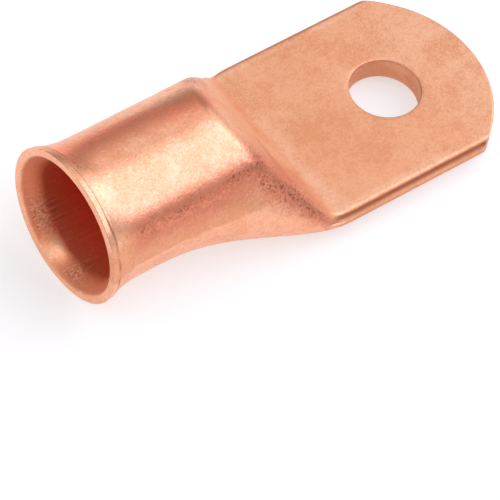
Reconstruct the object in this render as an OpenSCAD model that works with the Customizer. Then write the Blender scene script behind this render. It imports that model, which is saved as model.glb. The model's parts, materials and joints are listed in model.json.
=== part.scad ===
// Copper cable lug, pressed from one length of tube. The cable goes into the
// flared mouth of the round barrel, and a stud goes through the flat palm.
// Millimetres. In the modules below x runs from the mouth to the tip of the
// palm, y runs across it, and the barrel's axis is the line y = 0, z = 0.

/* [Tube] */
// Outside diameter of the tube
tube_d = 17.2; // [15:0.2:21]
// Wall of the tube
wall = 1.5; // [1:0.1:2]
// Length of the barrel, from the mouth to the top of the sloped face
barrel_len = 20; // [18:0.5:40]
// Distance from the end of the round bore to the top of the sloped face
bore_margin = 4; // [2:0.5:6]

/* [Mouth] */
// How far the flare stands out from the tube, all round
flare_rise = 1.1; // [0.5:0.1:2.5]
// Length of the flare outside
flare_len = 5; // [3:0.5:8]
// Thickness of the lip at the mouth
lip_wall = 1.35; // [0.8:0.05:1.8]
// Length of the bell inside the mouth
bell_len = 2.5; // [1.5:0.5:6]
// Rounding of the lip's outer edge
lip_round = 0.35; // [0.1:0.05:0.4]

/* [Transition] */
// Length of the sloped face along the lug, from the crown to the bend
slope_len = 9.3; // [6:0.1:14]
// Plain round stretch between the flare and the spreading underside
plain_len = 2; // [0.5:0.5:8]
// How far past the bend the underside reaches its full width
spread_past = 2.7; // [1:0.1:5]
// How gently the underside starts to spread
spread_ease = 1.3; // [1:0.05:1.6]
// Radius of the folded edge, where the tube doubles back on itself
fold_r = 1.7; // [1.3:0.1:2.4]

/* [Palm] */
// Width of the palm
palm_w = 25; // [22:0.5:32]
// Thickness of the palm
palm_t = 3; // [2.2:0.1:4]
// Length of the palm, from the bend to the tip
palm_len = 28.7; // [25:0.1:45]
// Height of the palm's underside above the underside of the barrel
palm_rise = 0.4; // [0:0.1:1]
// Depth of the rounded tip, from its corners to its end
tip_depth = 7.25; // [3:0.25:9]

/* [Stud hole] */
// Diameter of the stud hole
stud_d = 8.4; // [5:0.1:12.8]
// Distance from the centre of the stud hole to the tip
stud_edge = 12.2; // [10:0.1:14]

/* [Fineness] */
// Number of outlines along the transition
outlines = 27; // [16:1:40]
// Largest turn between two points of an outline, in degrees
turn = 5; // [4:0.5:8]

/* [Hidden] */
$fn = 96;

// Tube and bore
tube_r = tube_d / 2;
bore_r = tube_r - wall;
bore_end = barrel_len - bore_margin;
lip_r = tube_r + flare_rise;
mouth_r = lip_r - lip_wall;

// Stations along the lug
bend_x = barrel_len + slope_len;
lug_len = bend_x + palm_len;
spread_start = flare_len + plain_len;
spread_end = bend_x + spread_past;
stud_x = lug_len - stud_edge;

// Palm
palm_bottom = palm_rise - tube_r;
palm_top = palm_bottom + palm_t;
tip_r = (pow(palm_w / 2, 2) + pow(tip_depth, 2)) / (2 * tip_depth);
corner_x = lug_len - tip_depth;

// Folded edge at full width: its centre, and the angle at which the
// straight line that leans up to the tube touches it
fold_y = palm_w / 2 - fold_r;
fold_z = palm_bottom + fold_r;
lean = atan2(fold_z, fold_y) + acos((tube_r - fold_r) / norm([fold_y, fold_z]));

// Sloped face
slope = (tube_r - palm_top) / slope_len;
slope_wall = wall * sqrt(1 + slope * slope);

// Distance by which a shape runs past what it cuts or joins
past = 1;
// Step that keeps a faceted skin just inside the true round it meets
seam = 0.01;

copper = [0.86, 0.55, 0.40];

// Share of the spreading that is done, from 0 at station a to 1 at station b
function spread(x, a, b) =
    let (u = pow(max(0, min(1, (x - a) / (b - a))), spread_ease))
    u * u * (3 - 2 * u);

// Point of an arc in the cross-section
function on_arc(centre, r, angle) = centre + r * [cos(angle), sin(angle)];

// Angles from a to b in even turns, both ends included
function arc_angles(a, b) =
    let (n = ceil((b - a) / turn))
    [for (i = [0:n]) a + (b - a) * i / n];

// Right half of the cross-section, from the underside to the crown. The
// round tube is one circle. As it spreads, a second circle leaves it, moves
// out to the folded edge and shrinks, and a straight line joins the two.
// inset moves the outline inwards, for the hollow.
function half_outline(s, inset) =
    let (
        fold = [fold_y, fold_z] * s,
        r = max(0.1, tube_r + (fold_r - tube_r) * s - inset)
    )
    concat(
        [for (a = arc_angles(turn / 2 - 90, lean)) on_arc(fold, r, a)],
        [for (a = arc_angles(lean + turn, 90 - turn / 2)) on_arc([0, 0], tube_r - inset, a)]
    );

// Closed cross-section at station x, spread by s
function outline(x, s, inset) =
    let (
        half = half_outline(s, inset),
        low = palm_rise * s - tube_r + inset,
        count = len(half)
    )
    concat(
        [[x, 0, low]],
        [for (p = half) [x, p.x, p.y]],
        [[x, 0, tube_r - inset]],
        [for (i = [1:count]) let (p = half[count - i]) [x, -p.x, p.y]]
    );

// Skin through a row of outlines, closed at both ends
module skin(rows) {
    n = len(rows[0]);
    last = len(rows) - 1;
    sides = [
        for (i = [0:last - 1], j = [0:n - 1])
            let (a = i * n + j, b = i * n + (j + 1) % n)
            each [[a, b + n, b], [a, a + n, b + n]]
    ];
    first_cap = [for (j = [0:n - 1]) j];
    last_cap = [for (j = [0:n - 1]) (last + 1) * n - 1 - j];
    polyhedron(
        points = [for (row = rows) each row],
        faces = concat(sides, [first_cap, last_cap]),
        convexity = 6
    );
}

// Tube that spreads from station a to full width at station b. It runs on a
// little past both, into what it meets there.
module spreading_tube(a, b, inset) {
    stations = [
        a - past,
        for (i = [0:outlines]) a + (b - a) * i / outlines,
        b + past
    ];
    skin([for (x = stations) outline(x, spread(x, a, b), inset)]);
}

// Everything above the sloped face and the top of the palm, moved down by drop
module press_tool(drop) {
    high = tube_r + past;
    translate([0, 0, -drop])
        rotate([90, 0, 0])
            linear_extrude(height = 2 * palm_w, center = true)
                polygon([
                    [barrel_len - (past + drop) / slope, high + drop],
                    [bend_x, palm_top],
                    [lug_len + past, palm_top],
                    [lug_len + past, high + drop]
                ]);
}

// Profile of a round end that flares out from radius r by rise over length
module flare_profile(r, rise, length) {
    arc_r = (length * length + rise * rise) / (2 * rise);
    difference() {
        square([r + rise, length]);
        translate([r + arc_r, length]) circle(r = arc_r);
    }
}

// Profile of the flare outside, with its lip rounded
module lip_profile() {
    arc_r = (flare_len * flare_len + flare_rise * flare_rise) / (2 * flare_rise);
    arc_centre = [tube_r + arc_r, flare_len];
    reach = sqrt(pow(arc_r + lip_round, 2) - pow(flare_len - lip_round, 2));
    round_centre = [arc_centre.x - reach, lip_round];
    touch = arc_centre + (round_centre - arc_centre) * arc_r / (arc_r + lip_round);
    difference() {
        polygon([
            [0, 0], [round_centre.x, 0], touch,
            [touch.x, flare_len], [0, flare_len]
        ]);
        translate(arc_centre) circle(r = arc_r);
    }
    translate(round_centre) circle(r = lip_round);
}

// Solid round of the barrel, flare first
module barrel_round() {
    rotate([0, 90, 0])
        rotate_extrude() {
            lip_profile();
            translate([0, flare_len]) square([tube_r, plain_len]);
        }
}

// Round bore, belled at the mouth
module bore() {
    rotate([0, 90, 0])
        rotate_extrude() {
            flare_profile(bore_r, mouth_r - bore_r, bell_len);
            translate([0, bell_len]) square([bore_r, bore_end - bell_len]);
            translate([0, -past]) square([mouth_r, past]);
        }
}

// Hollow past the bore, closing to a thin edge under the bend
module closing_hollow() {
    difference() {
        spreading_tube(bore_end, spread_end, wall + seam);
        press_tool(slope_wall);
    }
}

// Cross-section of the palm, tall enough for the press tool to cut
module palm_section() {
    touch = on_arc([fold_y, fold_z], fold_r, lean);
    tall = palm_top + past;
    inner_y = touch.x - (tall - touch.y) * tan(lean);
    for (side = [-1, 1])
        translate([side * fold_y, fold_z]) circle(r = fold_r);
    polygon([
        [-fold_y, palm_bottom], [fold_y, palm_bottom],
        touch, [inner_y, tall],
        [-inner_y, tall], [-touch.x, touch.y]
    ]);
}

// Plan of the palm from full width to the rounded tip
module palm_plan() {
    translate([spread_end, -palm_w])
        square([corner_x - spread_end, 2 * palm_w]);
    intersection() {
        translate([lug_len - tip_r, 0]) circle(r = tip_r);
        translate([corner_x, -palm_w]) square([tip_depth + past, 2 * palm_w]);
    }
}

// Flat palm
module palm() {
    intersection() {
        translate([spread_end, 0, 0])
            rotate([90, 0, 90])
                linear_extrude(height = lug_len - spread_end + past)
                    palm_section();
        translate([0, 0, -2 * tube_r])
            linear_extrude(height = 4 * tube_r)
                palm_plan();
    }
}

// The whole lug: origin at the stud hole's centre on the palm's underside
module cable_lug() {
    color(copper)
        translate([-stud_x, 0, -palm_bottom])
            difference() {
                union() {
                    barrel_round();
                    spreading_tube(spread_start, spread_end, seam);
                    palm();
                }
                press_tool(0);
                bore();
                closing_hollow();
                translate([stud_x, 0, palm_bottom - past])
                    cylinder(d = stud_d, h = palm_t + 2 * past);
            }
}

cable_lug();
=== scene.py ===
"""Copper cable lug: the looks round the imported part.

The lug is one pressed tube, so it is one closed mesh: a sleeve of rings that starts at the end of
the hollow, runs out along the bore, turns round the lip of the mouth and follows the outside to the
tip of the palm. Lengths in the shape functions are millimetres, in a frame whose x runs from the
mouth to the tip and whose axis y = 0, z = 0 is the barrel's. The mesh itself is in metres, in the
part's own frame.
"""
import json
import math

import bpy
import numpy as np
from mathutils import Matrix, Vector, noise


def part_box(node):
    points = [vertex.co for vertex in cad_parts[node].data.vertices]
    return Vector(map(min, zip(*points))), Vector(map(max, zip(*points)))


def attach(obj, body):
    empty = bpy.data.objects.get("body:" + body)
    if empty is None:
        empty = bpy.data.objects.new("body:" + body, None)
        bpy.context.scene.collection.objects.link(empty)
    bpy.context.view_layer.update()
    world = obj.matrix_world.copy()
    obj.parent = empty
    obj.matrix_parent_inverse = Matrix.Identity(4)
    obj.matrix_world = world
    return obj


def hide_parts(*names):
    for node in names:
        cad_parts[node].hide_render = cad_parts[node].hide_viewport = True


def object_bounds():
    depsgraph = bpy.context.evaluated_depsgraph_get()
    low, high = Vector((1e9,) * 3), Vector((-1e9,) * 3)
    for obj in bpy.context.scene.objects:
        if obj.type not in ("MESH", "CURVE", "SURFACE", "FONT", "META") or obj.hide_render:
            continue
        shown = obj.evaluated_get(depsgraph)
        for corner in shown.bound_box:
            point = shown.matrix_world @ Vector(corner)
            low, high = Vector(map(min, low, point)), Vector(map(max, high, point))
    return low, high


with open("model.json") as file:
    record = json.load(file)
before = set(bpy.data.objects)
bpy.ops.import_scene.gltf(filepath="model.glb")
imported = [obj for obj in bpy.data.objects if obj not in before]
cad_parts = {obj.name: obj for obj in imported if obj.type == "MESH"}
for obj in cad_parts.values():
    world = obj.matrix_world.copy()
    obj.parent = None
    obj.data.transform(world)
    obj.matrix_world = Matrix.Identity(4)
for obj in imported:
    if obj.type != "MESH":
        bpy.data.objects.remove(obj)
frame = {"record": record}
cad_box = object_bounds()

MM = 0.001

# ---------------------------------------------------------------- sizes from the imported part

low, high = (np.array(corner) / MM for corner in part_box("cable_lug"))
mounts = {mount["name"]: mount for mount in frame["record"]["mounts"]}
bore_mount = mounts["cable_bore"]
bore_len = bore_mount["dims"]["length_mm"]

LUG_LEN = high[0] - low[0]
PALM_W = high[1] - low[1]
LIP_R = (high[2] - low[2]) / 2
AXIS_Z = bore_mount["pos_m"][2] / MM
MOUTH_X = low[0]
BORE_R = bore_mount["dims"]["r_mm"]
BORE_END = bore_mount["pos_m"][0] / MM + bore_len / 2 - MOUTH_X
BELL_LEN = BORE_END - bore_len
STUD_R = mounts["stud_hole"]["dims"]["r_mm"]
STUD_X = -MOUTH_X
PALM_BOTTOM = -AXIS_Z
PALM_TOP = mounts["nut_face"]["pos_m"][2] / MM - AXIS_Z

# ---------------------------------------------------------------- sizes of the part's source

# The frame doesn't carry these, so they repeat what part.scad says
WALL = 1.5
TUBE_R = BORE_R + WALL
FLARE_RISE = 1.1
FLARE_LEN = 5.0
BARREL_LEN = 20.0
BEND_X = 29.3
SPREAD_START = 7.0
SPREAD_END = 32.0
SPREAD_EASE = 1.3
PALM_RISE = PALM_BOTTOM + TUBE_R
FOLD_R = 1.7
TIP_DEPTH = 7.25

# ---------------------------------------------------------------- sizes that the looks add

LIP_WALL = 1.14
LIP_INNER_ROUND = 0.12
LIP_OUTER_ROUND = 0.14
# Share of the bell's length over which it bends from the bore into a cone
BELL_BEND = 0.75
# The narrow land that the trimming tool leaves round the lip, and the crease behind it
LAND_LEN = 0.75
LAND_DROP = 0.08
CREASE_LEN = 0.22
CREASE_DEPTH = 0.05
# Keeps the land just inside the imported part's box
INSET = 0.01
# The press came down a little askew: the sloped face starts nearer the mouth on the -Y side
PRESS_SKEW = 0.07
# Roundings left by the press: where the barrel's top turns into the sloped face, along that face's
# edges, along the palm's edges and at the bend
CROWN_ROUND = 3.2
SHOULDER_ROUND = 1.5
PALM_ROUND = 0.5
BEND_ROUND = 1.6
# Stretches over which the shoulder's rounding sets in, the roundings tighten to the palm's, and the
# side takes the folded edge's form
SHOULDER_STRETCH = (BARREL_LEN - 1, BARREL_LEN + 3)
TIGHTEN_STRETCH = (BEND_X - 4.5, BEND_X + 0.5)
FOLD_STRETCH = (BEND_X - 1, BEND_X + 1)
# How far from a corner its rounding fades, as a multiple of the rounding's own reach
EASE_FADE = 1.5
# Dents that handling has left in the barrel: depth, width, the stretch over which they set in and
# the one over which they end
DENT_DEPTH = 0.045
DENT_SIZE = 5.0
DENT_SEED = 9
DENT_START = (FLARE_LEN, 8)
DENT_END = (BARREL_LEN, BEND_X)
# The sheared tip: the rounding of its edges, the share of its half height that this may take, how
# hollow it is between them, and how far on either side of a fold's centre the rounding fades
SHEAR_ROUND = 0.2
SHEAR_MOST = 0.8
SHEAR_HOLLOW = 0.02
SHEAR_FADE = 0.6
# Rounding of the stud hole's edges
RIM_ROUND = 0.12
# Least radius of an outline's folded edge, least height of the hollow, and its height where it is
# closed
LEAST_FOLD_R = 0.05
LEAST_HOLLOW = 0.02
SLIT_GAP = 0.1
# Stretch over which the bore's painted shade sets in, from the mouth inwards
BORE_SHADE = (0.0, 0.3)

# ---------------------------------------------------------------- fineness of the mesh

# Points in half a ring and in a whole one
HALF = 130
AROUND = 2 * HALF
# About how long the steps are along the tube, the bore, the bell, the lip's face and its land
TUBE_STEP = 0.25
BORE_STEP = 0.6
BELL_STEP = 0.125
FACE_STEP = 0.2
LAND_STEP = 0.15
# Steps round each edge of the lip, the crease, the stud hole's rim and the sheared edges
LIP_TURNS = 5
CREASE_STEPS = 6
RIM_TURNS = 3
SHEAR_TURNS = 4
# Rings of the sheared wall, as shares of the way from its edge to its middle
SHEAR_RINGS = (0.35, 0.7)
# Rows along the palm. On its top and on its underside a patch round the stud hole has rings of its
# own: half the patch's width in points, its first and last row, its rings, and the steps down the
# hole's wall
PALM_ROWS = 56
PATCH = 32
PATCH_ROWS = (3, 51)
PATCH_RINGS = 12
WALL_STEPS = 6
# Points of an arc, steps of an outline before it is thinned out to a ring's, and stations at which
# the sloped face's edge is measured
ARC_POINTS = 60
DENSE = 900
EDGE_STATIONS = 24
# A turn of one radian in an outline gets as many points as this many millimetres of it
TURN_WEIGHT = 4.0

# ---------------------------------------------------------------- shape functions

TIP_R = ((PALM_W / 2) ** 2 + TIP_DEPTH ** 2) / (2 * TIP_DEPTH)
FOLD = np.array([PALM_W / 2 - FOLD_R, PALM_BOTTOM + FOLD_R])
LEAN = math.atan2(FOLD[1], FOLD[0]) + math.acos((TUBE_R - FOLD_R) / np.hypot(*FOLD))
SLOPE = (TUBE_R - PALM_TOP) / (BEND_X - BARREL_LEN)
SLOPE_WALL = WALL * math.hypot(1, SLOPE)


def smooth_step(value, start, end):
    """Rises smoothly from 0 at start to 1 at end"""
    u = np.clip((value - start) / (end - start), 0, 1)
    return u * u * (3 - 2 * u)


def window(value, start, end):
    """Rises from 0 to 1 over the pair start, and falls back to 0 over the pair end"""
    return smooth_step(value, *start) * (1 - smooth_step(value, *end))


def bell_curve(value, middle, half_width):
    """1 at the middle, falling off on both sides"""
    return np.exp(-((value - middle) / half_width) ** 2)


def blend(ends, share):
    """Value between a pair of ends, at that share of the way from the first to the second"""
    return ends[0] + (ends[1] - ends[0]) * share


def soft_min(a, b, width):
    """The lower of a and b, rounded where they cross within width of each other"""
    near = np.clip(1 - np.abs(a - b) / width, 0, 1)
    return np.minimum(a, b) - near * near * width / 4


def soft_max(a, b, width):
    return -soft_min(-a, -b, width)


def spread(x, start, end):
    """Share of the spreading that is done at station x"""
    u = np.clip((x - start) / (end - start), 0, 1) ** SPREAD_EASE
    return u * u * (3 - 2 * u)


def arc(centre, radius, start, end):
    angles = np.linspace(start, end, ARC_POINTS)
    return centre + radius * np.stack([np.cos(angles), np.sin(angles)], 1)


def resample(points, count, turn_weight=0.0):
    """count + 1 points along a polyline, closer together where it turns"""
    edges = np.diff(points, axis=0)
    heading = np.unwrap(np.arctan2(edges[:, 1], edges[:, 0]))
    turns = np.abs(np.diff(heading, prepend=heading[0]))
    weights = np.hypot(edges[:, 0], edges[:, 1]) + turn_weight * turns
    along = np.concatenate([[0], np.cumsum(weights)])
    wanted = np.linspace(0, along[-1], count + 1)
    return np.stack([np.interp(wanted, along, points[:, k]) for k in range(2)], 1)


def half_outline(s, inset):
    """Unpressed right half of the cross-section, underside to crown, as (y, z)"""
    radius = max(LEAST_FOLD_R, TUBE_R + (FOLD_R - TUBE_R) * s - inset)
    underside = [[0, PALM_RISE * s - TUBE_R + inset]]
    folded = arc(FOLD * s, radius, -math.pi / 2, LEAN)
    crown = arc(np.zeros(2), TUBE_R - inset, LEAN, math.pi / 2)
    return resample(np.vstack([underside, folded, crown]), DENSE)


def sloped_face(x, y):
    """Height of the sloped face and of the palm's top"""
    start = BARREL_LEN + PRESS_SKEW * y
    line = TUBE_R - (TUBE_R - PALM_TOP) * (x - start) / (BEND_X - start)
    return soft_max(line, np.full_like(y, PALM_TOP), BEND_ROUND)


def wobble(points, size, seed):
    """Smooth noise from -1 to 1 at each point, size millimetres across"""
    shift = Vector((seed, 2 * seed, 3 * seed))
    return np.array([noise.noise(Vector(p) / size + shift) for p in points])


def ease_corner(points, corner, width):
    """Half outline in even steps, averaged over width round the point with the index corner"""
    reach = max(1, round(width / np.hypot(*(points[1] - points[0]))))
    weights = np.hanning(2 * reach + 3)[1:-1]
    before = points[reach:0:-1] * [-1, 1]
    after = points[-2:-reach - 2:-1] * [-1, 1]
    padded = np.vstack([before, points, after])
    eased = np.stack(
        [np.convolve(padded[:, k], weights / weights.sum(), "valid") for k in range(2)], 1
    )
    share = bell_curve(np.arange(len(points)), corner, EASE_FADE * reach)
    return points + (eased - points) * share[:, None]


def outside_half(x, side):
    """One half of the outside's ring at station x, pressed by the sloped face. side is 1 or -1"""
    s = spread(x, SPREAD_START, SPREAD_END)
    half = half_outline(s, 0)
    tightened = smooth_step(x, *TIGHTEN_STRETCH)
    face = sloped_face(x, half[:, 0] * side)
    z = soft_min(half[:, 1], face, blend((CROWN_ROUND, PALM_ROUND / 2), tightened))
    # Towards the palm the side stops leaning in, and follows the folded edge's own circle
    above = np.clip((z - FOLD[1] * s) / FOLD_R, 0, 1)
    circle = FOLD[0] * s + FOLD_R * np.sqrt(1 - above * above)
    bulge = smooth_step(x, *FOLD_STRETCH) * (half[:, 1] > FOLD[1] * s)
    y = half[:, 0] + (np.minimum(half[:, 0], circle) - half[:, 0]) * bulge
    pressed = half[:, 1] > face
    if not pressed.any():
        return resample(np.stack([y * side, z], 1), HALF, TURN_WEIGHT)
    start = np.array([y[np.argmax(pressed)], face[np.argmax(pressed)]])
    even = resample(np.stack([y, z], 1), DENSE)
    corner = np.argmin(np.hypot(*(even - start).T))
    width = blend((SHOULDER_ROUND, PALM_ROUND), tightened) * smooth_step(x, *SHOULDER_STRETCH)
    return resample(ease_corner(even, corner, width) * [side, 1], HALF, TURN_WEIGHT)


def outside_ring(x):
    """Ring of the outside at station x"""
    right, left = outside_half(x, 1), outside_half(x, -1)
    ring = np.column_stack([np.full(AROUND, x), np.vstack([right, left[-2:0:-1]])])
    depth = DENT_DEPTH * window(x, DENT_START, DENT_END)
    if depth > 0:
        dent = depth * (1 + wobble(ring, DENT_SIZE, DENT_SEED)) / 2
        ring[:, 1:] *= 1 - dent[:, None] / TUBE_R
    return ring


def hollow_ring(x):
    """Ring of the hollow at station x, under the sloped face's wall"""
    half = half_outline(spread(x, BORE_END, SPREAD_END), WALL)
    ceiling = TUBE_R - SLOPE * (x - BARREL_LEN) - SLOPE_WALL
    floor = half[0, 1]
    z = np.minimum(half[:, 1], max(ceiling, floor + LEAST_HOLLOW))
    right = resample(np.stack([half[:, 0], z], 1), HALF)
    ring = np.vstack([right, right[-2:0:-1] * [-1, 1]])
    return np.column_stack([np.full(AROUND, x), ring])


def round_ring(x, radius):
    angles = 2 * math.pi * np.arange(AROUND) / AROUND - math.pi / 2
    return np.column_stack([np.full(AROUND, x), radius * np.cos(angles), radius * np.sin(angles)])


def stations(start, end, step):
    """Evenly spaced stations after start, up to and including end"""
    count = max(1, round(abs(end - start) / step))
    return np.linspace(start, end, count + 1)[1:]


def turns_to_quarter(count, start=0.0):
    """Evenly spaced angles after start, up to and including a quarter turn"""
    return np.linspace(start, math.pi / 2, count + 1)[1:]


def flare_radius(x, radius, rise, length):
    """Radius of a round end that flares out by rise over length, along one arc"""
    arc_r = (length * length + rise * rise) / (2 * rise)
    return radius + arc_r - np.sqrt(np.maximum(arc_r ** 2 - (length - x) ** 2, 0))


def bell_radius(x, rise):
    """Radius of the bell, which opens by rise: a bend out of the bore, and then a cone"""
    share = 1 - x / BELL_LEN
    bent = min(share, BELL_BEND)
    return BORE_R + rise * (bent * bent / (2 * BELL_BEND) + share - bent) / (1 - BELL_BEND / 2)


def bell_profile():
    """Profile of the bell and of the lip's inner edge as (x, radius), and the radius at which the
    lip's face starts"""
    rise = TUBE_R + FLARE_RISE - LIP_WALL - BORE_R
    bell_turn = math.atan(rise / BELL_LEN / (1 - BELL_BEND / 2))
    bell_end = LIP_INNER_ROUND * (1 - math.sin(bell_turn))
    profile = [(x, bell_radius(x, rise)) for x in stations(BELL_LEN, bell_end, BELL_STEP)]
    face_r = profile[-1][1] + LIP_INNER_ROUND * math.cos(bell_turn)
    profile += [
        (LIP_INNER_ROUND * (1 - math.sin(t)), face_r - LIP_INNER_ROUND * math.cos(t))
        for t in turns_to_quarter(LIP_TURNS, bell_turn)[:-1]
    ]
    return profile, face_r


def lip_profile(face_r):
    """Profile of the lip's face, its outer edge and its land, as (x, radius)"""
    land_r = LIP_R - INSET
    face_end = land_r - LIP_OUTER_ROUND
    profile = [(0, r) for r in (face_r, *stations(face_r, face_end, FACE_STEP))]
    profile += [
        (LIP_OUTER_ROUND * (1 - math.cos(t)), face_end + LIP_OUTER_ROUND * math.sin(t))
        for t in turns_to_quarter(LIP_TURNS)
    ]
    return profile + [
        (x, land_r - LAND_DROP * x / LAND_LEN)
        for x in stations(LIP_OUTER_ROUND, LAND_LEN, LAND_STEP)
    ]


def flare_profile(land_end):
    """Profile of the crease behind the land, which ends at that radius, and of the flare"""
    start = LAND_LEN + CREASE_LEN
    ends = (land_end, flare_radius(start, TUBE_R, FLARE_RISE, FLARE_LEN))
    profile = []
    for share in np.linspace(0, 1, CREASE_STEPS + 1)[1:]:
        radius = blend(ends, share) - CREASE_DEPTH * math.sin(math.pi * share)
        profile.append((LAND_LEN + CREASE_LEN * share, radius))
    return profile + [
        (x, flare_radius(x, TUBE_R, FLARE_RISE, FLARE_LEN))
        for x in stations(start, FLARE_LEN, TUBE_STEP)
    ]


def palm_rings():
    """Rings from full width to the sheared tip. They bend from straight across to the tip's arc."""
    section = outside_ring(SPREAD_END)[:, 1:]
    reach = LUG_LEN - TIP_R + np.sqrt(TIP_R ** 2 - section[:, 0] ** 2)
    shares = np.linspace(0, 1, PALM_ROWS + 1)[1:]
    return [np.column_stack([blend((SPREAD_END, reach), share), section]) for share in shares]


def tip_rings(last):
    """Rings of the sheared wall: its edges rounded, and its middle a hair hollow between them"""
    y, z = last[:, 1], last[:, 2]
    middle = (z + z[(HALF - np.arange(AROUND)) % AROUND]) / 2
    fade = 1 - smooth_step(np.abs(y), FOLD[0] - SHEAR_FADE, FOLD[0] + SHEAR_FADE)
    radius = np.minimum(SHEAR_ROUND, np.abs(z - middle) * SHEAR_MOST) * fade
    radius = np.maximum(radius, SHEAR_HOLLOW)
    outward = np.column_stack([np.sqrt(TIP_R ** 2 - y ** 2), y]) / TIP_R
    rows = []
    for turn in (0.0, *turns_to_quarter(SHEAR_TURNS)):
        pull = radius * (1 - math.sin(turn))
        drop = radius * (1 - math.cos(turn)) * np.sign(z - middle)
        rows.append(np.column_stack([last[:, :2] - outward * pull[:, None], z - drop]))
    edge = rows[-1][:, 2]
    for share in SHEAR_RINGS:
        inward = last[:, :2] - outward * SHEAR_HOLLOW * share
        rows.append(np.column_stack([inward, blend((edge, middle), share)]))
    return rows


# ---------------------------------------------------------------- the mesh


class Sleeve:
    """Points and faces of the closed mesh. inside says how far each point has taken the bore's painted
    shade, and outside whether it lies on the outside of the tube."""

    def __init__(self):
        self.points = []
        self.faces = []
        self.inside = []
        self.outside = []

    def add(self, points, shade=None):
        """Adds points and returns their indices. Only points inside the tube have painted shade."""
        start = len(self.points)
        self.points.extend(map(tuple, points))
        self.inside.extend([0.0] * len(points) if shade is None else shade)
        self.outside.extend([shade is None] * len(points))
        return np.arange(start, start + len(points))

    def strip(self, a, b, flip=False):
        """Faces between two loops of equally many points"""
        count = len(a)
        for i in range(count):
            j = (i + 1) % count
            face = (a[i], a[j], b[j], b[i])
            self.faces.append(face[::-1] if flip else face)


def rectangle_loop(rows, first, last, columns):
    """Point indices round the edge of a rectangle of the grid, in one direction"""
    across = [rows[first][c] for c in columns]
    down = [rows[r][columns[-1]] for r in range(first + 1, last)]
    back = [rows[last][c] for c in reversed(columns)]
    up = [rows[r][columns[0]] for r in range(last - 1, first, -1)]
    return across + down + back + up


def circle_loop(angles, radius, z):
    return np.column_stack([
        STUD_X + radius * np.cos(angles), radius * np.sin(angles), np.full(len(angles), z)
    ])


def fill_face(sleeve, loop, z, into):
    """Rings from a rectangle's edge to the stud hole's rounded rim. Returns the last ring. into is
    -1 where the hole goes down from this face, and 1 where it goes up."""
    edge = np.array([sleeve.points[i] for i in loop])
    angles = np.arctan2(edge[:, 1], edge[:, 0] - STUD_X)
    rim = circle_loop(angles, STUD_R + RIM_ROUND, z)
    ring = np.array(loop)
    for share in np.linspace(0, 1, PATCH_RINGS + 1)[1:]:
        new = sleeve.add(edge + (rim - edge) * share)
        sleeve.strip(ring, new, into > 0)
        ring = new
    for turn in turns_to_quarter(RIM_TURNS):
        radius = STUD_R + RIM_ROUND * (1 - math.sin(turn))
        new = sleeve.add(circle_loop(angles, radius, z + into * RIM_ROUND * (1 - math.cos(turn))))
        sleeve.strip(ring, new, into > 0)
        ring = new
    return ring


def close_row(sleeve, row, flip):
    """Closes a flat ring across, from its upper to its lower half, with a triangle at each end"""
    quarter = HALF // 2
    for c in range(-quarter, quarter):
        corners = [c, c + 1, HALF - c - 1, HALF - c]
        if c == -quarter:
            corners = [c, c + 1, HALF - c - 1]
        elif c == quarter - 1:
            corners = [c, c + 1, HALF - c]
        face = [row[k % AROUND] for k in corners]
        sleeve.faces.append(face if flip else face[::-1])


def wall_of_hole(sleeve, over, under):
    """Rings of the stud hole's wall, between its upper and lower rims"""
    upper = np.array([sleeve.points[i] for i in over])
    lower = np.array([sleeve.points[i] for i in under])
    ring = over
    for share in np.linspace(0, 1, WALL_STEPS + 1)[1:-1]:
        between = upper + (lower - upper) * share
        spoke = between[:, :2] - [STUD_X, 0]
        spoke *= STUD_R / np.linalg.norm(spoke, axis=1)[:, None]
        between[:, :2] = spoke + [STUD_X, 0]
        new = sleeve.add(between)
        sleeve.strip(ring, new)
        ring = new
    sleeve.strip(ring, under)


def hollow_rings():
    """Rings of the hollow, from where it is closed to the end of the bore"""
    drop = 2 * TUBE_R - WALL - SLOPE_WALL - PALM_RISE - SLIT_GAP
    slit_x = BARREL_LEN + drop / SLOPE
    return [hollow_ring(x) for x in (slit_x, *stations(slit_x, BORE_END, TUBE_STEP))]


def join_rows(sleeve, rows, first, last):
    """Faces between neighbouring rows. Between the rows first and last a patch is left open above
    the stud hole, and one below it."""
    for r in range(len(rows) - 1):
        for c in range(AROUND):
            over_patch = HALF - PATCH <= c < HALF + PATCH
            under_patch = (c + PATCH) % AROUND < 2 * PATCH
            if not (first <= r < last and (over_patch or under_patch)):
                d = (c + 1) % AROUND
                sleeve.faces.append((rows[r][c], rows[r][d], rows[r + 1][d], rows[r + 1][c]))


def add_stud_hole(sleeve, rows, first, last):
    """Fills the two open patches round the stud hole, and adds the hole's wall"""
    top = list(range(HALF - PATCH, HALF + PATCH + 1))
    bottom = [c % AROUND for c in range(PATCH, -PATCH - 1, -1)]
    over = fill_face(sleeve, rectangle_loop(rows, first, last, top), PALM_TOP, -1)
    under = fill_face(sleeve, rectangle_loop(rows, first, last, bottom), PALM_BOTTOM, 1)
    wall_of_hole(sleeve, over, under)


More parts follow.
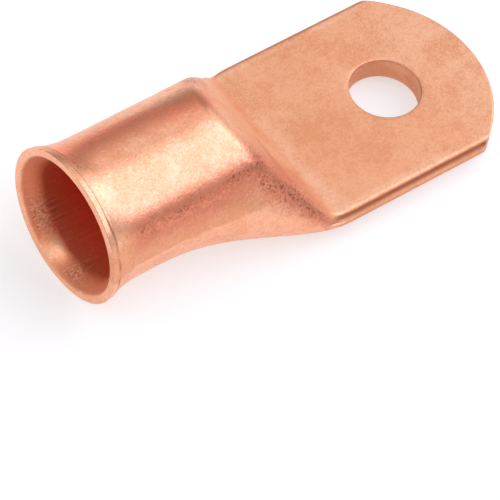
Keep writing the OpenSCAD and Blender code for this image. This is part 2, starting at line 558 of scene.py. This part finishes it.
def build_sleeve():
    sleeve = Sleeve()
    bore = [(x, BORE_R) for x in stations(BORE_END, BELL_LEN, BORE_STEP)]
    bell, face_r = bell_profile()
    lip = lip_profile(face_r)
    flare = flare_profile(lip[-1][1])
    tube = [outside_ring(x) for x in stations(FLARE_LEN, SPREAD_END, TUBE_STEP)]
    palm = palm_rings()
    tip = tip_rings(palm.pop())

    inner = hollow_rings() + [round_ring(x, r) for x, r in bore + bell]
    outer = [round_ring(x, r) for x, r in lip + flare] + tube + palm + tip
    rows = [sleeve.add(ring, smooth_step(ring[:, 0], *BORE_SHADE)) for ring in inner]
    rows += [sleeve.add(ring) for ring in outer]
    palm_start = len(rows) - len(tip) - len(palm)
    first, last = (palm_start + row for row in PATCH_ROWS)
    join_rows(sleeve, rows, first, last)
    close_row(sleeve, rows[0], False)
    close_row(sleeve, rows[-1], True)
    add_stud_hole(sleeve, rows, first, last)
    return sleeve


# ---------------------------------------------------------------- marks and painted light on the copper

# Each mark is a mask over the mesh's points. One that starts over (a, b) is none at a and whole at b,
# and one that ends over (a, b) is whole at a and none at b. Angles are degrees round the barrel, from
# +Y over the crown, and lengths are millimetres.

# Smooth noises that the marks wander and break up by, as (size, seed)
SLOW = (6.0, 5)
QUICK = (1.6, 3)
# How many degrees the slow noise moves what runs along the barrel
ANGLE_WANDER = 4

# Redder, darker streaks along both sides of the barrel, partly stain and partly painted dark
# reflection, as (none, whole, whole, none). All of the far one but its last edge drifts round the
# barrel by a degree in each millimetre past DRIFT_FROM.
DRIFT_FROM = 10
DRIFT_RANGE = (-4, 6)
FAR_STREAK = (54, 66, 70, 97)
FAR_STREAK_END = (19.5, 22)
NEAR_STREAK = (132, 150, 152, 172)
NEAR_STREAK_START = (2, 5)
# Bands of painted shade in the streaks, as (most, angle, half width, start)
SHADE_BANDS = ((0.85, 157, 12, (2, 5)), (0.4, 75, 13, (14, 18)))
# Pits along the near streak: angle, drift as a share of the far streak's, half width and start
PIT_ANGLE = 150
PIT_DRIFT = -0.4
PIT_WIDTH = 5.5
PIT_START = (3, 6)
# Where the barrel's marks start and end, and how far below the sloped face they start
BARREL_START = (0.2, 1.2)
BARREL_END = (21, 25)
EDGE_START = (0, 0.8)
# How whole the pits are, and how much the slow noise breaks them up, on the barrel and on the arm
PIT_COVER = 0.7
BARREL_PIT_BREAKS = 0.8
ARM_PIT_BREAKS = 0.6
ARM_PIT_MOST = 0.75

# The arm: painted shade along the concave turn below the sloped face's edge, where the near streak
# goes on down to the palm's corner. Its depth below the face at the crown's end and at the bend, and
# its half width as a share of that depth.
ARM_DEPTH = (2.9, 1.0)
ARM_WIDTH = 0.95
ARM_START = (19, 21.5)
ARM_END = (BEND_X - 1.5, BEND_X + 0.5)
# Distance from the middle at which it starts, where it ends on the far side, and how red it is
ARM_SIDE = (3, 6)
FAR_ARM_END = (21, 24)
ARM_STREAK = 0.5
# Where it laps over the face's edge on the -Y side: how far inside the edge it starts, at the
# crown's end and at the bend, how far outside it is whole, and how far below the face it reaches
LAP_INSIDE = (-0.3, -1.4)
LAP_OUTSIDE = 0.3
LAP_START = (23.5, 27)
LAP_REACH = 2
LAP_MOST = 0.6

# Scuffs that the press tool left on the sloped face, and how far from the face they fade
SCUFF_START = (18.5, 20)
SCUFF_END = (BEND_X - 0.5, BEND_X + 1.5)
SCUFF_FADE = 0.7

# Painted shade in the crease behind the lip's land, broken up by noise: its middle, its half width,
# how much of it lies there, how much each noise changes that, and its least and most
CREASE_MIDDLE = LAND_LEN + 0.6 * CREASE_LEN
CREASE_WIDTH = 0.15
CREASE_COVER = 0.10
CREASE_SLOW = 1.5
CREASE_QUICK = 1.2
CREASE_RANGE = (0.12, 0.85)

# Where the palm's own marks start, the barrel's lower side by its angle, and the palm's lower edge by
# its depth below the middle of the folded edge
PALM_START = (BEND_X, BEND_X + 1)
LOW_SIDE_START = (150, 160)
LOW_EDGE_START = (-0.4, 0.1)
# Painted shade along the palm's side where it turns over, by the angle round the folded edge from
# level, upwards
TURN_OVER = (32, 17)
TURN_OVER_END = (44, 56)
SIDE_START = (BEND_X - 1.5, BEND_X + 1)
# The flank of the palm starts this far in from the middle of the folded edge
FLANK = 0.5
# How much darker the flank's lower edge and the barrel's lower side are, as painted shade, and how much
# darker the hole's punched wall is
LOW_EDGE_SHADE = 0.3
LOW_SIDE_SHADE = 0.15
PUNCHED_SHADE = 0.34
# The punched wall's shade reaches this share of the way out over the hole's rounded edge
PUNCHED_REACH = 0.6

# A darker spot on the palm, between the bend and the stud hole: its middle, its size along the lug,
# and that size as a share of the one across
DARK_SPOT = (36, -2)
DARK_SPOT_SIZE = 6
DARK_SPOT_SHARE = 0.8
DARK_SPOT_TONE = 0.75
PALM_WANDER_TONE = 0.35
# The palm is cleaner towards its tip, and in a band just past the bend that fades on the far side
CLEAN_TIP_START = (46, 56)
CLEAN_TIP_TONE = -0.5
CLEAN_BAND = (BEND_X + 1.0, 1.4)
CLEAN_BAND_START = (-6, 1)
CLEAN_BAND_TONE = -0.8
# It is darker along its far side, and the sloped face is towards its near one
FAR_SIDE_START = (4, 12)
FAR_SIDE_TONE = 0.3
NEAR_FACE_START = (0, 8)
NEAR_FACE_TONE = 0.35
# Painted shade: the barrel and the palm are both darker on their lower sides
LOW_SIDE_SHADE_TONE = 0.9
# Painted highlight along the palm's upper edges, at this angle round the folded edge
PAINTED_EDGE_HIGHLIGHT = (68, 12)

# Two scuffed places in the bell, and between them a painted highlight where the bell's painted
# shade is lifted, as (angle, half width)
BELL_SCUFFS = ((-42, 15), (-103, 11))
BELL_SCUFF_START = (0.2, 0.7)
BELL_SCUFF_END = (2.2, 4.5)
BELL_LIT_SPOT = (-74, 12)
BELL_LIT_SPOT_END = (1.5, 3.5)
BELL_LIT_SPOT_MOST = 0.95


def face_edge(x):
    """Distance from the middle to the sloped face's edge at station x"""
    face = BARREL_LEN + np.linspace(0, 1, EDGE_STATIONS) * (BEND_X - BARREL_LEN)
    widths = []
    for station in face:
        half = half_outline(spread(station, SPREAD_START, SPREAD_END), 0)
        pressed = half[:, 1] > TUBE_R - SLOPE * (station - BARREL_LEN)
        widths.append(half[np.argmax(pressed), 0] if pressed.any() else 0.0)
    return np.interp(x, face, widths)


class Skin:
    """Where each point lies, in the terms that the marks are placed by"""

    def __init__(self, points, outside):
        self.x, self.y, self.z = points.T
        self.outside = outside
        self.slow = wobble(points, *SLOW)
        self.quick = wobble(points, *QUICK)
        # Angles round the barrel and round the palm's folded edge, and depth below the sloped face
        self.angle = np.degrees(np.arctan2(self.z, self.y)) + ANGLE_WANDER * self.slow
        self.fold_angle = np.degrees(np.arctan2(self.z - FOLD[1], np.abs(self.y) - FOLD[0]))
        self.below = sloped_face(self.x, self.y) - self.z
        # How far down the sloped face the station is, from 0 at the crown's end to 1 at the bend
        self.down = np.clip((self.x - BARREL_LEN) / (BEND_X - BARREL_LEN), 0, 1)
        self.palm = smooth_step(self.x, *PALM_START)
        self.low_side = smooth_step(self.angle, *LOW_SIDE_START) * (1 - self.palm)
        self.low_edge = smooth_step(FOLD[1] - self.z, *LOW_EDGE_START) * self.palm


def barrel_marks(skin):
    """Red streaks, partly stain and partly painted dark reflection, bands of painted shade, and pits
    along the barrel
    """
    drift = np.clip(skin.x - DRIFT_FROM, *DRIFT_RANGE)
    none, whole, waning, gone = FAR_STREAK
    far = window(skin.angle, (none + drift, whole + drift), (waning + drift, gone))
    far *= 1 - smooth_step(skin.x, *FAR_STREAK_END)
    near = window(skin.angle, NEAR_STREAK[:2], NEAR_STREAK[2:])
    near *= smooth_step(skin.x, *NEAR_STREAK_START)
    shade_bands = sum(
        most * bell_curve(skin.angle, middle, half_width) * smooth_step(skin.x, *start)
        for most, middle, half_width, start in SHADE_BANDS
    )
    pits = bell_curve(skin.angle, PIT_ANGLE + PIT_DRIFT * drift, PIT_WIDTH)
    pits *= smooth_step(skin.x, *PIT_START)
    pits *= np.clip(PIT_COVER + BARREL_PIT_BREAKS * skin.slow, 0, 1)
    barrel = window(skin.x, BARREL_START, BARREL_END) * skin.outside
    barrel *= smooth_step(skin.below, *EDGE_START)
    return np.maximum(far, near) * barrel, shade_bands * barrel, pits * barrel


def arm_marks(skin):
    """Painted shade of the arm below the sloped face's edge, and the whole arm with what laps over that
    edge
    """
    depth = blend(ARM_DEPTH, skin.down)
    below_edge = bell_curve(skin.below, depth, ARM_WIDTH * depth) * skin.outside
    below_edge *= smooth_step(skin.x, *ARM_START) * (1 - smooth_step(skin.x, *ARM_END))
    far_side = smooth_step(skin.y, *ARM_SIDE) * (1 - smooth_step(skin.x, *FAR_ARM_END))
    below_edge *= smooth_step(-skin.y, *ARM_SIDE) + far_side
    past_edge = -skin.y - face_edge(skin.x)
    lap = smooth_step(past_edge, blend(LAP_INSIDE, skin.down), LAP_OUTSIDE) * skin.outside
    lap *= window(skin.x, LAP_START, ARM_END) * (skin.below < LAP_REACH)
    return below_edge, np.maximum(below_edge, LAP_MOST * lap)


def press_scuffs(skin):
    return bell_curve(skin.below, 0, SCUFF_FADE) * window(skin.x, SCUFF_START, SCUFF_END) * skin.outside


# Painted shade in the crease behind the lip's land, broken up by noise
def crease_shade(skin):
    cover = CREASE_COVER + CREASE_SLOW * skin.slow + CREASE_QUICK * skin.quick
    crease = bell_curve(skin.x, CREASE_MIDDLE, CREASE_WIDTH) * skin.outside
    return crease * np.clip(cover, *CREASE_RANGE)


def side_shade(skin, arm):
    """Darker copper: painted shade where the palm's side turns over, on the lower sides and along the
    arm, and a darker punched wall in the stud hole
    """
    side = bell_curve(skin.fold_angle, *TURN_OVER)
    side *= 1 - smooth_step(skin.fold_angle, *TURN_OVER_END)
    side *= smooth_step(skin.x, *SIDE_START) * skin.outside
    flank = np.abs(skin.y) > FOLD[0] - FLANK
    side = np.maximum(side, LOW_EDGE_SHADE * skin.low_edge * flank)
    side = np.maximum(side, LOW_SIDE_SHADE * np.maximum(arm, skin.low_side * skin.outside))
    punched = np.hypot(skin.x - STUD_X, skin.y) < STUD_R + PUNCHED_REACH * RIM_ROUND
    return np.where(punched, PUNCHED_SHADE, side)


def palm_tone(skin):
    spot = np.hypot(skin.x - DARK_SPOT[0], (skin.y - DARK_SPOT[1]) * DARK_SPOT_SHARE)
    tone = DARK_SPOT_TONE * bell_curve(spot, 0, DARK_SPOT_SIZE) + PALM_WANDER_TONE * skin.slow
    tone += CLEAN_TIP_TONE * smooth_step(skin.x, *CLEAN_TIP_START)
    clean_band = bell_curve(skin.x, *CLEAN_BAND) * smooth_step(-skin.y, *CLEAN_BAND_START)
    tone += CLEAN_BAND_TONE * clean_band
    tone += FAR_SIDE_TONE * smooth_step(skin.y, *FAR_SIDE_START)
    return np.clip(tone, -1, 1) * skin.palm


def overall_tone(skin, scuffed):
    """How stained each point is where this is above 0, with painted shade on the lower sides among it,
    and how clean where it is below, with a painted highlight on the palm's upper edges among it
    """
    tone = palm_tone(skin)
    tone += NEAR_FACE_TONE * smooth_step(-skin.y, *NEAR_FACE_START) * scuffed
    # Painted shade on the lower sides
    tone += LOW_SIDE_SHADE_TONE * (skin.low_side + skin.low_edge) * skin.outside
    # Painted highlight along the palm's upper edges
    return tone - bell_curve(skin.fold_angle, *PAINTED_EDGE_HIGHLIGHT) * skin.palm * skin.outside


def bell_marks(skin):
    """Scuffed places in the bell, and the painted highlight between them"""
    scuffs = np.maximum(*(bell_curve(skin.angle, *place) for place in BELL_SCUFFS))
    scuffs *= window(skin.x, BELL_SCUFF_START, BELL_SCUFF_END) * (1 - skin.outside)
    lit_spot = bell_curve(skin.angle, *BELL_LIT_SPOT) * (1 - smooth_step(skin.x, *BELL_LIT_SPOT_END))
    return scuffs, lit_spot


def finish_masks(points, inside, outside):
    """How far each point shows each mark that the pressing and the handling left, and each place of
    painted shade, painted dark reflection and painted highlight
    """
    skin = Skin(points, outside)
    streak_and_reflection, shade_bands, pits = barrel_marks(skin)
    below_edge, arm = arm_marks(skin)
    scuffed = press_scuffs(skin)
    bell, lit_spot = bell_marks(skin)
    arm_pits = ARM_PIT_MOST * arm * np.clip(PIT_COVER + ARM_PIT_BREAKS * skin.slow, 0, 1)
    return {
        # The bell's painted shade is lifted at one spot, a painted highlight
        "inside": inside * (1 - BELL_LIT_SPOT_MOST * lit_spot),
        # Streaks: partly stain, partly painted dark reflection
        "streak_and_reflection": np.maximum(streak_and_reflection, ARM_STREAK * below_edge),
        # Painted shade: bands in the streaks and the arm
        "painted_shade": np.maximum(shade_bands, arm),
        "pits": np.maximum(pits, arm_pits),
        "side": side_shade(skin, arm),
        "scuffed": scuffed,
        "crease": crease_shade(skin),
        "tone": overall_tone(skin, scuffed),
        "bell": bell,
    }


def build_lug():
    sleeve = build_sleeve()
    mesh = bpy.data.meshes.new("lug_body")
    points = np.array(sleeve.points)
    placed = (points + [MOUTH_X, 0, AXIS_Z]) * MM
    mesh.from_pydata(placed.tolist(), [], [tuple(int(i) for i in f) for f in sleeve.faces])
    masks = finish_masks(points, np.array(sleeve.inside), np.array(sleeve.outside, float))
    for name, values in masks.items():
        mask = mesh.attributes.new(name, "FLOAT", "POINT")
        mask.data.foreach_set("value", values.astype(np.float32))
    mesh.polygons.foreach_set("use_smooth", [True] * len(mesh.polygons))
    mesh.update()
    lug = bpy.data.objects.new("lug_body", mesh)
    bpy.context.scene.collection.objects.link(lug)
    return lug


# ---------------------------------------------------------------- materials


class Nodes:
    """Short calls for building one material's node tree"""

    def __init__(self, name):
        self.material = bpy.data.materials.new(name)
        self.material.use_nodes = True
        self.tree = self.material.node_tree
        self.shader = self.tree.nodes["Principled BSDF"]
        coords = self.tree.nodes.new("ShaderNodeTexCoord")
        self.where = coords.outputs["Object"]

    def link(self, value, socket):
        if isinstance(value, bpy.types.NodeSocket):
            self.tree.links.new(value, socket)
        else:
            socket.default_value = value

    def set(self, name, value):
        self.link(value, self.shader.inputs[name])

    def noise(self, size_mm, detail, roughness, stretch=(1, 1, 1)):
        mapping = self.tree.nodes.new("ShaderNodeMapping")
        mapping.inputs["Scale"].default_value = stretch
        self.link(self.where, mapping.inputs["Vector"])
        texture = self.tree.nodes.new("ShaderNodeTexNoise")
        texture.inputs["Scale"].default_value = 1 / (size_mm * MM)
        texture.inputs["Detail"].default_value = detail
        texture.inputs["Roughness"].default_value = roughness
        self.link(mapping.outputs["Vector"], texture.inputs["Vector"])
        return texture.outputs["Fac"]

    def band(self, value, start, end, low=0.0, high=1.0):
        """value mapped from start..end to low..high, and held there"""
        node = self.tree.nodes.new("ShaderNodeMapRange")
        for name, number in (("From Min", start), ("From Max", end), ("To Min", low), ("To Max", high)):
            node.inputs[name].default_value = number
        self.link(value, node.inputs["Value"])
        return node.outputs["Result"]

    def math(self, operation, a, b):
        node = self.tree.nodes.new("ShaderNodeMath")
        node.operation = operation
        self.link(a, node.inputs[0])
        self.link(b, node.inputs[1])
        return node.outputs[0]

    def add(self, a, b):
        return self.math("ADD", a, b)

    def times(self, a, b):
        return self.math("MULTIPLY", a, b)

    def mix(self, factor, a, b):
        node = self.tree.nodes.new("ShaderNodeMix")
        node.data_type = "RGBA"
        # The Mix node's colour sockets have the same names as its number sockets
        colour_a, colour_b = node.inputs[6], node.inputs[7]
        self.link(factor, node.inputs["Factor"])
        self.link(a, colour_a)
        self.link(b, colour_b)
        return node.outputs[2]

    def mask(self, name):
        node = self.tree.nodes.new("ShaderNodeAttribute")
        node.attribute_name = name
        return node.outputs["Fac"]

    def stretch_of_lug(self, start, end):
        """Rises from 0 to 1 between two stations of the lug, in millimetres from the mouth"""
        node = self.tree.nodes.new("ShaderNodeSeparateXYZ")
        self.link(self.where, node.inputs[0])
        return self.band(node.outputs["X"], (MOUTH_X + start) * MM, (MOUTH_X + end) * MM)

    def bump(self, height, distance_mm, below=None):
        node = self.tree.nodes.new("ShaderNodeBump")
        node.inputs["Distance"].default_value = distance_mm * MM
        self.link(height, node.inputs["Height"])
        if below is not None:
            self.link(below, node.inputs["Normal"])
        return node.outputs["Normal"]


# Linear colours
COPPER = (0.96, 0.50, 0.325, 1)
COPPER_PALM = (0.96, 0.49, 0.295, 1)
# Cleaner copper, and the painted highlight along the palm's upper edges
COPPER_CLEAN_AND_HIGHLIGHT = (1.0, 0.61, 0.41, 1)
# Tarnish, and the painted shade of the lower sides
COPPER_TARNISH_AND_SHADE = (0.82, 0.355, 0.19, 1)
# Redder copper of the streaks: partly stain, partly painted dark reflection
COPPER_RED = (1.0, 0.305, 0.175, 1)
# Painted shade in bands in the streaks and along the arm below the sloped face
COPPER_PAINTED_SHADE = (0.66, 0.232, 0.145, 1)
# Painted shade of the turned-over and lower sides, and the darker punched wall
COPPER_SIDE = (0.44, 0.15, 0.075, 1)
# Painted shade of the bore and the bell, deeper further in
COPPER_BORE_SHADE = (0.76, 0.225, 0.11, 1)
COPPER_DEEP_SHADE = (0.93, 0.140, 0.051, 1)
COPPER_DRAWN = (1.0, 0.50, 0.32, 1)
COPPER_SCUFFED = (0.92, 0.52, 0.305, 1)
COPPER_PITTED = (0.21, 0.042, 0.014, 1)
EDGE_TINT = (1.0, 0.93, 0.88, 1)
# Painted shade in the crease behind the lip's land, and dirt in the bell's scuffs
DIRT_AND_CREASE_SHADE = (0.25, 0.078, 0.042, 1)

# Noises, as (size in millimetres, detail, roughness, and how far they are drawn out along the lug)
NOISES = {
    "patches": (4.5, 3.0, 0.6),
    "mottle": (0.9, 3.0, 0.65),
    "grain": (0.34, 2.0, 0.6),
    "speckle": (0.16, 1.0, 0.6),
    "drawn": (0.14, 2.0, 0.7, (0.03, 1, 1)),
    "scratches": (0.20, 2.0, 0.7, (0.06, 1, 1)),
}

# Stretches of the lug, in millimetres from the mouth: where the barrel's copper turns into the
# palm's, and where the bore's painted shade deepens into that of the hollow further in
PALM_COPPER = (BEND_X - 2, BEND_X + 1)
DEEP_SHADE_STRETCH = (2.2, 7.3)

# Bands, as (from, to, value at the first, value at the second)
TONE_CLEAN_AND_HIGHLIGHT = (0, -0.6, 0, 0.6)
TONE_STAIN_AND_SHADE = (0, 1, 0, 0.55)
STAINS = {
    "patches": (0.44, 0.70, 0, 0.35),
    "mottle": (0.46, 0.70, 0, 0.34),
    "grain": (0.46, 0.70, 0, 0.36),
    "speckle": (0.46, 0.70, 0, 0.36),
}
SPECKLED_PATCHES = (0.50, 0.62, 0, 0.5)
SPECKLED_SPOTS = (0.48, 0.58, 0, 1)
UNEVEN = (0.3, 0.6, 0.6, 1)
DRAWN_LINES = (0.52, 0.75, 0, 0.35)
PIT_GRAIN = (0.51, 0.60, 0, 1)
PIT_SPECKLE = (0.54, 0.64, 0, 0.7)
PIT_MOTTLE = (0.44, 0.56, 0.25, 1)
BELL_SCRATCHES = (0.40, 0.62, 0, 1)
BELL_SCUFF_MOST = 0.5

# Share of metal where the copper is clean, and where it is scuffed or in the bore
METAL = (1.0, 0.65)
# Roughness of the barrel and of the palm, and what each noise and mark adds to it
ROUGHNESS = (0.30, 0.40)
ROUGH_MOTTLE = (0.3, 0.7, -0.04, 0.05)
ROUGH_GRAIN = (0.3, 0.7, -0.06, 0.07)
ROUGH_INSIDE = 0.15
ROUGH_SCUFFED = 0.30
# Heights of the bumps in millimetres
BUMPS = {"mottle": 0.020, "grain": 0.020, "speckle": 0.010}
DRAWN_BUMP = 0.06


def stained_and_shaded(nodes, textures, colour, tone):
    """Colour with its stains, of all sizes, the painted shade of the lower sides, and speckled patches
    """
    stain_and_shade = nodes.band(tone, *TONE_STAIN_AND_SHADE)
    for name, stain_band in STAINS.items():
        stain_and_shade = nodes.add(stain_and_shade, nodes.band(textures[name], *stain_band))
    patches = nodes.band(textures["patches"], *SPECKLED_PATCHES)
    spots = nodes.band(textures["speckle"], *SPECKLED_SPOTS)
    return nodes.mix(nodes.add(stain_and_shade, nodes.times(patches, spots)), colour, COPPER_TARNISH_AND_SHADE)


def bore_shade_and_lines(nodes, textures):
    """Painted shade of the bore, darker and redder further in, with the bore's drawn lines"""
    deeper_shade = nodes.mix(nodes.stretch_of_lug(*DEEP_SHADE_STRETCH), COPPER_BORE_SHADE, COPPER_DEEP_SHADE)
    return nodes.mix(nodes.band(textures["drawn"], *DRAWN_LINES), deeper_shade, COPPER_DRAWN)


def pitted(nodes, textures, colour):
    grain = nodes.band(textures["grain"], *PIT_GRAIN)
    spots = nodes.math("MAXIMUM", grain, nodes.band(textures["speckle"], *PIT_SPECKLE))
    spots = nodes.times(spots, nodes.band(textures["mottle"], *PIT_MOTTLE))
    return nodes.mix(nodes.times(nodes.mask("pits"), spots), colour, COPPER_PITTED)


def scuffed_in_bell(nodes, textures, colour):
    scuffs = nodes.mix(nodes.band(textures["scratches"], *BELL_SCRATCHES), DIRT_AND_CREASE_SHADE, COPPER_DRAWN)
    return nodes.mix(nodes.times(nodes.mask("bell"), BELL_SCUFF_MOST), colour, scuffs)


def copper_colour(nodes, textures, palm):
    """Clean copper, and over it its stains, streaks, scuffs and dirt, with painted shade, painted dark
    reflections and painted highlights
    """
    tone = nodes.mask("tone")
    colour = nodes.mix(palm, COPPER, COPPER_PALM)
    # Cleaner copper, and the painted highlight on the palm's upper edges
    colour = nodes.mix(nodes.band(tone, *TONE_CLEAN_AND_HIGHLIGHT), colour, COPPER_CLEAN_AND_HIGHLIGHT)
    colour = nodes.mix(nodes.mask("scuffed"), colour, COPPER_SCUFFED)
    # Stains, with the painted shade of the lower sides
    colour = stained_and_shaded(nodes, textures, colour, tone)
    uneven = nodes.band(textures["grain"], *UNEVEN)
    # Streaks: partly stain, partly painted dark reflection
    colour = nodes.mix(nodes.times(nodes.mask("streak_and_reflection"), uneven), colour, COPPER_RED)
    # Painted shade: bands in the streaks and the arm
    colour = nodes.mix(nodes.times(nodes.mask("painted_shade"), uneven), colour, COPPER_PAINTED_SHADE)
    # Painted shade of the turned-over and lower sides, and the darker punched wall
    colour = nodes.mix(nodes.mask("side"), colour, COPPER_SIDE)
    # Painted shade in the bore and the bell
    colour = nodes.mix(nodes.mask("inside"), colour, bore_shade_and_lines(nodes, textures))
    colour = pitted(nodes, textures, colour)
    colour = scuffed_in_bell(nodes, textures, colour)
    # Painted shade in the crease behind the lip's land
    return nodes.mix(nodes.mask("crease"), colour, DIRT_AND_CREASE_SHADE)


def copper_roughness(nodes, textures, palm):
    rough = nodes.band(palm, 0, 1, *ROUGHNESS)
    rough = nodes.add(rough, nodes.band(textures["mottle"], *ROUGH_MOTTLE))
    rough = nodes.add(rough, nodes.band(textures["grain"], *ROUGH_GRAIN))
    rough = nodes.add(rough, nodes.times(nodes.mask("inside"), ROUGH_INSIDE))
    return nodes.add(rough, nodes.times(nodes.mask("scuffed"), ROUGH_SCUFFED))


def copper_bumps(nodes, textures):
    """Fine bumps all over, and drawn lines in the bore"""
    normal = None
    for name, distance in BUMPS.items():
        normal = nodes.bump(textures[name], distance, normal)
    lines = nodes.times(nodes.mask("inside"), textures["drawn"])
    return nodes.bump(lines, DRAWN_BUMP, normal)


def copper_finish():
    nodes = Nodes("satin_copper")
    textures = {name: nodes.noise(*values) for name, values in NOISES.items()}
    palm = nodes.stretch_of_lug(*PALM_COPPER)
    dull = nodes.math("MAXIMUM", nodes.mask("scuffed"), nodes.mask("inside"))
    nodes.set("Base Color", copper_colour(nodes, textures, palm))
    nodes.set("Metallic", nodes.band(dull, 0, 1, *METAL))
    nodes.set("Specular Tint", EDGE_TINT)
    nodes.set("Roughness", copper_roughness(nodes, textures, palm))
    nodes.set("Normal", copper_bumps(nodes, textures))
    return nodes.material


FLOOR_COLOUR = (0.52, 0.52, 0.52, 1)
FLOOR_ROUGHNESS = 0.9
FLOOR_SPECULAR = 0.1
# Light that the floor adds for the camera and in reflections, so that it reads as white
FLOOR_LIFT = 0.55


def floor_finish():
    nodes = Nodes("pale_floor")
    nodes.set("Base Color", FLOOR_COLOUR)
    nodes.set("Roughness", FLOOR_ROUGHNESS)
    nodes.set("Specular IOR Level", FLOOR_SPECULAR)
    path = nodes.tree.nodes.new("ShaderNodeLightPath").outputs
    seen = nodes.math("MAXIMUM", path["Is Camera Ray"], path["Is Glossy Ray"])
    seen = nodes.math("MAXIMUM", seen, path["Is Transmission Ray"])
    nodes.set("Emission Color", (1, 1, 1, 1))
    nodes.set("Emission Strength", nodes.times(seen, FLOOR_LIFT))
    return nodes.material


# ---------------------------------------------------------------- stage, light and camera

# Half the side of the square floor in metres
FLOOR_HALF = 4.0


def add_floor():
    z = cad_box[0][2]
    corners = [(-1, -1), (1, -1), (1, 1), (-1, 1)]
    mesh = bpy.data.meshes.new("floor")
    mesh.from_pydata([(FLOOR_HALF * x, FLOOR_HALF * y, z) for x, y in corners], [], [(0, 1, 2, 3)])
    mesh.materials.append(floor_finish())
    floor = bpy.data.objects.new("floor", mesh)
    bpy.context.scene.collection.objects.link(floor)


def aim(thing, place, target, roll=0.0):
    """Points a lamp's or a camera's -Z from place to target, and rolls it about that line"""
    back = (Vector(place) - Vector(target)).normalized()
    turn = back.to_track_quat("Z", "Y").to_matrix().to_4x4()
    thing.matrix_world = (
        Matrix.Translation(place) @ turn @ Matrix.Rotation(math.radians(roll), 4, "Z")
    )


# Radiance of the studio round the lug
WALL_LIGHT = 0.42
WHITE = (1, 1, 1)
COOL = (1, 0.98, 1.18)
# Softboxes: direction from the lug, distance, width and height in metres, radiance and colour
SOFTBOXES = {
    "key": ((0.46, -0.42, 0.79), 1.2, 1.92, 1.54, 1.52, COOL),
    "over": ((0.43, 0.40, 0.81), 1.4, 0.9, 0.8, 0.42, WHITE),
    "fill": ((0.42, 0.62, 0.66), 1.4, 0.8, 0.8, 0.25, WHITE),
    "side": ((0.93, 0.08, 0.46), 1.4, 1.1, 0.8, 1.0, WHITE),
    "back": ((-0.62, 0.30, 0.72), 1.4, 1.2, 1.0, 1.2, WHITE),
    "front": ((-0.92, -0.25, 0.32), 1.4, 0.9, 0.7, 0.9, WHITE),
}


def add_softbox(name, direction, distance, width, height, radiance, colour):
    lamp = bpy.data.lights.new(name, "AREA")
    lamp.shape = "ELLIPSE"
    lamp.size = width
    lamp.size_y = height
    lamp.color = colour
    # A lamp's energy is its radiance times pi times its area, here that of an ellipse
    lamp.energy = radiance * math.pi * width * height * math.pi / 4
    thing = bpy.data.objects.new(name, lamp)
    bpy.context.scene.collection.objects.link(thing)
    aim(thing, Vector(direction).normalized() * distance, Vector())


def add_light():
    world = bpy.data.worlds.new("studio")
    world.use_nodes = True
    background = world.node_tree.nodes["Background"]
    background.inputs["Color"].default_value = (1, 1, 1, 1)
    background.inputs["Strength"].default_value = WALL_LIGHT
    bpy.context.scene.world = world
    for name, softbox in SOFTBOXES.items():
        add_softbox(name, *softbox)


# The camera's direction from the lug and its roll in degrees, its distance and nearest visible
# distance in metres, and its lens in millimetres
CAMERA_AZIMUTH = -44.6
CAMERA_ELEVATION = 51.9
CAMERA_ROLL = 10.2
CAMERA_DISTANCE = 0.5893
CAMERA_NEAR = 0.01
CAMERA_LENS = 376.4
# Where the middle of the picture falls, from the middle of the part's box
CAMERA_AIM = (-0.00827, -0.00836, -0.00921)


def add_camera():
    middle = (Vector(cad_box[0]) + Vector(cad_box[1])) / 2
    target = middle + Vector(CAMERA_AIM)
    azimuth, elevation = math.radians(CAMERA_AZIMUTH), math.radians(CAMERA_ELEVATION)
    towards = Vector((
        math.sin(azimuth) * math.cos(elevation),
        -math.cos(azimuth) * math.cos(elevation),
        math.sin(elevation),
    ))
    data = bpy.data.cameras.new("camera")
    data.lens = CAMERA_LENS
    data.clip_start = CAMERA_NEAR
    camera = bpy.data.objects.new("camera", data)
    bpy.context.scene.collection.objects.link(camera)
    aim(camera, target + towards * CAMERA_DISTANCE, target, CAMERA_ROLL)
    bpy.context.scene.camera = camera


# ---------------------------------------------------------------- the scene

lug = build_lug()
lug.data.materials.append(copper_finish())
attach(lug, "root")
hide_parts("cable_lug")

add_floor()
add_light()
add_camera()
bpy.context.scene.view_settings.view_transform = "Standard"
